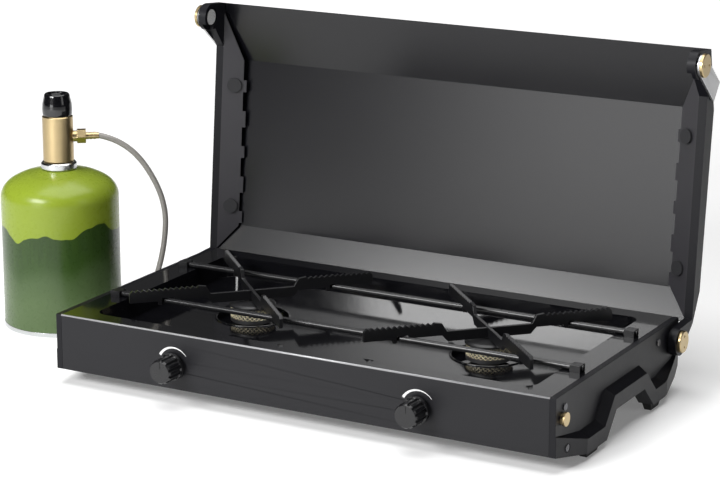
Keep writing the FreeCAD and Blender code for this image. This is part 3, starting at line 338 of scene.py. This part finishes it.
def revolve(shape, profile, centre, steps=96):
    """A closed ring of profile points, as radius and height, turned about the vertical through centre."""
    rings = []
    for radius, height in profile:
        ring = []
        for step in range(steps):
            angle = 2 * math.pi * step / steps
            ring.append(shape.verts.new((centre.x + radius * math.cos(angle),
                                         centre.y + radius * math.sin(angle), height)))
        rings.append(ring)
    for index, ring in enumerate(rings):
        above = rings[(index + 1) % len(rings)]
        for step in range(steps):
            after = (step + 1) % steps
            shape.faces.new((ring[step], ring[after], above[after], above[step]))


def middle_of(node):
    low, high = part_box(node)
    return (low + high) / 2


def hole_lip(shape, centre, radius, base):
    """The rolled lip of the tray round a burner."""
    profile = []
    for step in range(10):
        angle = 2 * math.pi * step / 10
        profile.append((radius + 0.9 * MM * math.cos(angle), base + 0.5 * MM + 0.55 * MM * math.sin(angle)))
    revolve(shape, profile, centre, 128)


def lattice(shape, centre, radius, low, high, around=30, rows=3):
    """A band of diamond cells round the burner head."""
    height = (high - low) / rows
    points = {}
    for row in range(2 * rows + 1):
        for column in range(2 * around):
            if (row + column) % 2 == 0:
                angle = math.pi * column / around
                points[row, column] = shape.verts.new((centre.x + radius * math.cos(angle),
                                                       centre.y + radius * math.sin(angle),
                                                       low + row * height / 2))
    wide = 2 * around
    for row in range(1, 2 * rows):
        for column in range(wide):
            if (row + column) % 2 == 1:
                corners = (points[row, (column - 1) % wide], points[row - 1, column],
                           points[row, (column + 1) % wide], points[row + 1, column])
                shape.faces.new(corners)


def bead(shape, low, high, radius):
    """A round bead along the front top edge of a box."""
    ends = []
    for x in (low.x, high.x):
        ring = []
        for step in range(12):
            angle = math.pi * step / 6
            ring.append(shape.verts.new((x, low.y + radius * (0.7 + math.cos(angle)),
                                         high.z + radius * (math.sin(angle) - 0.6))))
        ends.append(ring)
    for step in range(12):
        after = (step + 1) % 12
        shape.faces.new((ends[0][step], ends[0][after], ends[1][after], ends[1][step]))
    for ring in ends:
        shape.faces.new(ring)


def dress(nodes, finish, edge=0.0, segments=2):
    """Gives CAD pieces a finish, and rounds their sharp edges so that they catch the light."""
    for name in nodes:
        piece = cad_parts[name]
        piece.data.materials.clear()
        piece.data.materials.append(finish.material)
        if edge:
            weld = piece.modifiers.new("weld", "WELD")
            weld.merge_threshold = 0.002 * MM
            bevel = piece.modifiers.new("edge", "BEVEL")
            bevel.width = edge
            bevel.segments = segments
            bevel.limit_method = "ANGLE"
            bevel.angle_limit = math.radians(32)
            piece.modifiers.new("shading", "WEIGHTED_NORMAL").keep_sharp = True


def both(name):
    return [name + "_left", name + "_right"]


# ---- finishes ---------------------------------------------------------------------------------------
knob_places = [middle_of(name) for name in both("gas_knob")]
shell_middle = middle_of("cartridge_shell")
panel_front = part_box("front_panel")[0].y

panel = panel_coat(knob_places, panel_front)
sheet = coated_black("lid_coat", (0.003, 0.003, 0.0045), 0.235, 0.5 * MM, 0.002 * MM, 0.45, wear=0.02)
# the end strips' black paint is given a lighter grey than the lid's: painted sheen for the light the strips catch
strip_sheen_coat = coated_black("strip_sheen_coat", (0.026, 0.025, 0.029), 0.40, 0.5 * MM, 0.006 * MM, 0.5)
moulding = coated_black("end_moulding", (0.004, 0.004, 0.006), 0.44, 0.35 * MM, 0.02 * MM, 0.22)
pan_coat = coated_black("pan_coat", (0.016, 0.016, 0.017), 0.5, 0.6 * MM, 0.01 * MM)
enamel = coated_black("tray_enamel", (0.004, 0.004, 0.005), 0.085, 4.0 * MM, 0.012 * MM, 0.5, 0.3)
# pale grey bead finish: a painted highlight for the bright line along the tray's black front edge
painted_highlight_bead = coated_black("painted_highlight_bead", (0.30, 0.30, 0.31), 0.22, 3.0 * MM, 0.01 * MM, 0.8, 0.5)
blade_enamel = coated_black("blade_enamel", (0.008, 0.008, 0.009), 0.30, 0.8 * MM, 0.03 * MM, 0.5)
knob_plastic = coated_black("knob_plastic", (0.006, 0.006, 0.007), 0.30, 0.9 * MM, 0.01 * MM, 0.5)
dial_plastic = coated_black("dial_plastic", (0.004, 0.004, 0.005), 0.14, 2.0 * MM, 0.005 * MM, 0.5, 0.4)
cap_iron = coated_black("cap_iron", (0.010, 0.010, 0.011), 0.42, 0.7 * MM, 0.04 * MM, 0.5)
screw_steel = metal("screw_steel", (0.16, 0.16, 0.17), 0.35)
brass = metal("turned_brass", (0.54, 0.42, 0.23), 0.34, (1, 1, 14), 500)
jet_brass = metal("jet_brass", (0.66, 0.46, 0.20), 0.30)
steel = metal("drawn_steel", (0.52, 0.53, 0.55), 0.28, (0.05, 1, 1))
rod_steel = coated_black("rod_coat", (0.010, 0.010, 0.011), 0.26, 0.9 * MM, 0.01 * MM)
arm_steel = metal("arm_steel", (0.58, 0.58, 0.585), 0.34, (1, 0.08, 1))
nut_steel = metal("nut_steel", (0.85, 0.85, 0.84), 0.30, shine=0.35)
tinplate = metal("tinplate", (0.62, 0.63, 0.64), 0.22, (1, 1, 9), 300)
alloy = metal("cast_alloy", (0.30, 0.30, 0.31), 0.45, depth=0.02 * MM)
mesh_brass = metal("mesh_brass", (0.95, 0.86, 0.62), 0.34, shine=0.45)
lacquer = cartridge_lacquer(shell_middle, 0.018)
oak = oiled_oak()
rubber = moulded_rubber("black_rubber", (0.014, 0.014, 0.014), 0.7)
disc_rubber = moulded_rubber("disc_rubber", (0.018, 0.018, 0.020), 0.5)
hose.data.materials.append(hose_skin().material)

dress(["front_panel"], panel, 0.35 * MM)
dress(["bottom_pan"], pan_coat, 0.5 * MM)
dress(["hob_tray"], enamel, 0.9 * MM, 3)
dress(both("end_cap"), moulding, 0.9 * MM, 3)
dress(both("lid_cap"), moulding, 0.8 * MM, 3)
dress(["lid_panel"], sheet, 0.3 * MM)
dress(both("lid_end_strip"), strip_sheen_coat, 0.2 * MM)
dress(["lid_bumpers"], disc_rubber, 0.4 * MM)
dress(["lid_screws", "cap_screws", "grip_screws"], screw_steel)
dress(["latch_studs", "hinge_bolts", "handle_bolts", "regulator_body"], brass, 0.25 * MM)
dress(["outlet_nut", "regulator_ferrule", "stove_ferrule"], brass, 0.2 * MM)
dress(["gas_inlet"] + both("valve_body") + both("gas_jet") + both("knob_spindle"), jet_brass)
dress(["support_rods"], rod_steel, 0.3 * MM)
dress(["rod_clips"], blade_enamel, 0.5 * MM)
dress(["manifold_pipe"] + both("mixing_tube"), steel)
dress(["handle_nuts"], nut_steel, 0.4 * MM)
dress(both("burner_bowl"), enamel, 0.2 * MM)
dress(both("burner_body"), alloy)
dress(both("burner_cap"), cap_iron, 0.3 * MM)
dress(both("gas_knob"), knob_plastic, 0.3 * MM)
dress(both("pot_blade_notched") + both("pot_blade_crossing"), blade_enamel, 0.25 * MM)
dress(both("handle_arm"), arm_steel, 0.3 * MM)
dress(["handle_grip"], oak, 0.3 * MM)
dress(["cartridge_shell"], lacquer)
dress(["cartridge_seam", "cartridge_collar"], tinplate, 0.3 * MM)
dress(["regulator_knob"], dial_plastic, 0.4 * MM)
dress(["rubber_feet"], rubber, 0.4 * MM)

tray_low, tray_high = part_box("hob_tray")
# the bead's pale grey is a painted highlight standing in for the light caught by the tray's front edge
piece_from("tray_front_edge", lambda shape: bead(shape, tray_low, tray_high, 0.8 * MM), "base",
           painted_highlight_bead)

for side in ("left", "right"):
    low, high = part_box("burner_mesh_" + side)
    centre = (low + high) / 2
    radius = (high.x - low.x) / 2 - 0.5 * MM
    band = piece_from("flame_mesh_" + side, lambda shape: lattice(shape, centre, radius, low.z, high.z), "base",
                      mesh_brass, ["burner_mesh_" + side])
    wires = band.modifiers.new("wires", "WIREFRAME")
    wires.thickness = 0.9 * MM
    wires.use_even_offset = False
    rim = (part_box("burner_bowl_" + side)[1].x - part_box("burner_bowl_" + side)[0].x) / 2
    bowl_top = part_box("burner_bowl_" + side)[1].z
    piece_from("hob_hole_lip_" + side, lambda shape: hole_lip(shape, centre, rim - 0.9 * MM, bowl_top + 0.9 * MM),
               "base", enamel)


# ---- studio -----------------------------------------------------------------------------------------
def area_light(name, place, target, width, height, power):
    lamp = bpy.data.lights.new(name, "AREA")
    lamp.shape = "RECTANGLE"
    lamp.size = width
    lamp.size_y = height
    lamp.energy = power
    light = bpy.data.objects.new(name, lamp)
    light.location = place
    light.rotation_euler = (Vector(target) - Vector(place)).to_track_quat("-Z", "Y").to_euler()
    scene.collection.objects.link(light)


def make_floor():
    """White floor that glows more behind the object, so that it meets the backdrop without a line."""
    finish = Finish("floor", base_color=(0.92, 0.92, 0.92), roughness=0.9, specular_ior_level=0.1,
                    emission_strength=1.0)
    x, y, z = finish.axes(finish.place)
    glow = (0.84 * y - 0.48 * x).within(0.7, 2.0)
    finish.set("Emission Color", finish.blend(glow, (0.16, 0.16, 0.16), (0.9, 0.9, 0.9)))
    mesh = bpy.data.meshes.new("floor")
    mesh.from_pydata([(-12, -12, 0), (12, -12, 0), (12, 12, 0), (-12, 12, 0)], [], [(0, 1, 2, 3)])
    floor = bpy.data.objects.new("floor", mesh)
    floor.data.materials.append(finish.material)
    scene.collection.objects.link(floor)


def make_world():
    """Pale room: bright at the horizon, dim overhead."""
    world = bpy.data.worlds.new("studio")
    scene.world = world
    world.use_nodes = True
    room = Shading(world.node_tree)
    x, y, z = room.axes(room.node("TexCoord", output="Generated"))
    behind = (0.84 * y - 0.48 * x).within(0.5, 0.85)
    glow = 0.06 + behind + z.within(0.15, 0.75) * 0.12
    room.feed(room.tree.nodes["Background"].inputs["Strength"], glow)


scene.view_settings.view_transform = "Standard"
make_floor()
make_world()
# name, place, target, width, height, watts
LIGHTS = [
    ("overhead", (0.0, 0.0, 1.9), (0.05, 0, 0.05), 2.1, 1.8, 40),
    ("key_box", (-0.62, -1.75, 1.13), (0.1, 0, 0.1), 0.95, 0.55, 42),
    ("front_board", (-0.62, -2.35, 0.29), (0.1, 0, 0.15), 0.95, 0.56, 7),
    ("right_box", (1.9, -0.3, 0.9), (0.15, 0, 0.05), 0.6, 0.9, 2.5),
]
for row in LIGHTS:
    area_light(*row)

hose.hide_render = True     # a curve's own box is a metre too wide on every side
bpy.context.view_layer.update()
hose.hide_render = False
